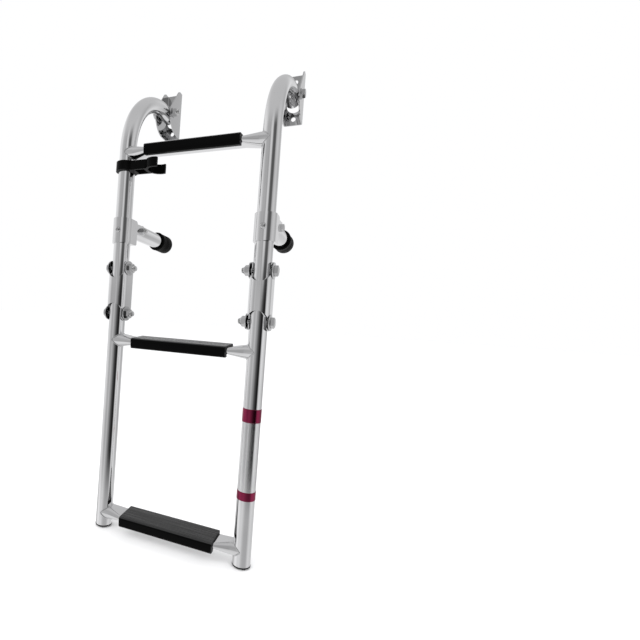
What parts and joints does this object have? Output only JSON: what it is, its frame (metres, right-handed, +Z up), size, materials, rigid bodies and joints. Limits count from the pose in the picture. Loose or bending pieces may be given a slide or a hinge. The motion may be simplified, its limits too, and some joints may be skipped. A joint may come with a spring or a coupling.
{
  "type": "folding boarding ladder",
  "caption": "Folding boarding ladder with transom hooks: a hinged upper and lower section, ribbed treads, sliding standoffs and a fold clip.",
  "frame": {"origin": "centre of the four screw holes of the two hook brackets, on the transom face (y = 0)", "axes": "+X along the rungs to the ladder's right, +Y horizontally into the transom, +Z up the transom"},
  "size_m": [0.2684, 0.1738, 0.752],
  "materials": {
    "stainless_steel": "polished stainless steel",
    "steel_fastener": "satin stainless steel",
    "black_cap": "moulded black plastic",
    "tread_cover": "extruded black plastic, finely ribbed on top",
    "clip_plastic": "moulded black plastic",
    "rubber_pad": "matt black rubber",
    "leg_label": "printed film"
  },
  "bodies": {
    "brackets": {"left_bracket": "stainless_steel", "right_bracket": "stainless_steel", "left_pivot_bolt": "steel_fastener", "right_pivot_bolt": "steel_fastener", "left_pivot_nut": "steel_fastener", "right_pivot_nut": "steel_fastener", "left_pivot_washers": "steel_fastener", "right_pivot_washers": "steel_fastener"},
    "hook_frame": {"left_hook_tube": "stainless_steel", "right_hook_tube": "stainless_steel", "left_hook_plug": "stainless_steel", "right_hook_plug": "stainless_steel", "left_stub_cap": "black_cap", "right_stub_cap": "black_cap", "top_rung": "stainless_steel", "top_tread": "tread_cover"},
    "straps": {"left_strap": "stainless_steel", "right_strap": "stainless_steel", "left_upper_hinge_bolt": "steel_fastener", "right_upper_hinge_bolt": "steel_fastener", "left_lower_hinge_bolt": "steel_fastener", "right_lower_hinge_bolt": "steel_fastener", "left_upper_hinge_nut": "steel_fastener", "right_upper_hinge_nut": "steel_fastener", "left_lower_hinge_nut": "steel_fastener", "right_lower_hinge_nut": "steel_fastener", "left_upper_washers": "steel_fastener", "right_upper_washers": "steel_fastener", "left_lower_washers": "steel_fastener", "right_lower_washers": "steel_fastener"},
    "lower_frame": {"left_leg_tube": "stainless_steel", "right_leg_tube": "stainless_steel", "left_leg_top_cap": "black_cap", "right_leg_top_cap": "black_cap", "left_foot_cap": "black_cap", "right_foot_cap": "black_cap", "middle_rung": "stainless_steel", "middle_tread": "tread_cover", "bottom_rung": "stainless_steel", "bottom_tread": "tread_cover", "leg_label": "leg_label"},
    "left_clamp": {"left_sleeve": "stainless_steel", "left_set_screw": "steel_fastener", "left_standoff_bolt": "steel_fastener", "left_standoff_nut": "steel_fastener"},
    "right_clamp": {"right_sleeve": "stainless_steel", "right_set_screw": "steel_fastener", "right_standoff_bolt": "steel_fastener", "right_standoff_nut": "steel_fastener"},
    "left_standoff": {"left_standoff_tube": "stainless_steel", "left_standoff_pad": "rubber_pad"},
    "right_standoff": {"right_standoff_tube": "stainless_steel", "right_standoff_pad": "rubber_pad"},
    "clip": {"fold_clip": "clip_plastic"}
  },
  "joints": [
    {"name": "hook_pivot", "type": "hinge", "parent": "brackets", "child": "hook_frame", "pos_m": [0, -0.035, -0.008], "axis": [-1, 0, 0], "range_deg": [0, 110]},
    {"name": "strap_pivot", "type": "hinge", "parent": "hook_frame", "child": "straps", "pos_m": [0, -0.153, -0.306], "axis": [-1, 0, 0], "range_deg": [0, 90]},
    {"name": "leg_pivot", "type": "hinge", "parent": "straps", "child": "lower_frame", "pos_m": [0, -0.153, -0.376], "axis": [-1, 0, 0], "range_deg": [0, 96.2]},
    {"name": "left_sleeve_slide", "type": "slide", "parent": "hook_frame", "child": "left_clamp", "axis": [0, 0, 1], "range_m": [-0.02, 0.035]},
    {"name": "right_sleeve_slide", "type": "slide", "parent": "hook_frame", "child": "right_clamp", "axis": [0, 0, 1], "range_m": [-0.02, 0.035]},
    {"name": "left_standoff_pivot", "type": "hinge", "parent": "left_clamp", "child": "left_standoff", "pos_m": [-0.112, -0.118, -0.24025], "axis": [1, 0, 0], "range_deg": [-45, 70]},
    {"name": "right_standoff_pivot", "type": "hinge", "parent": "right_clamp", "child": "right_standoff", "pos_m": [0.112, -0.118, -0.24025], "axis": [1, 0, 0], "range_deg": [-45, 70]},
    {"name": "clip_pivot", "type": "hinge", "parent": "hook_frame", "child": "clip", "pos_m": [-0.112, -0.153, -0.1495], "axis": [0, 0, -1], "range_deg": [0, 90]}
  ]
}
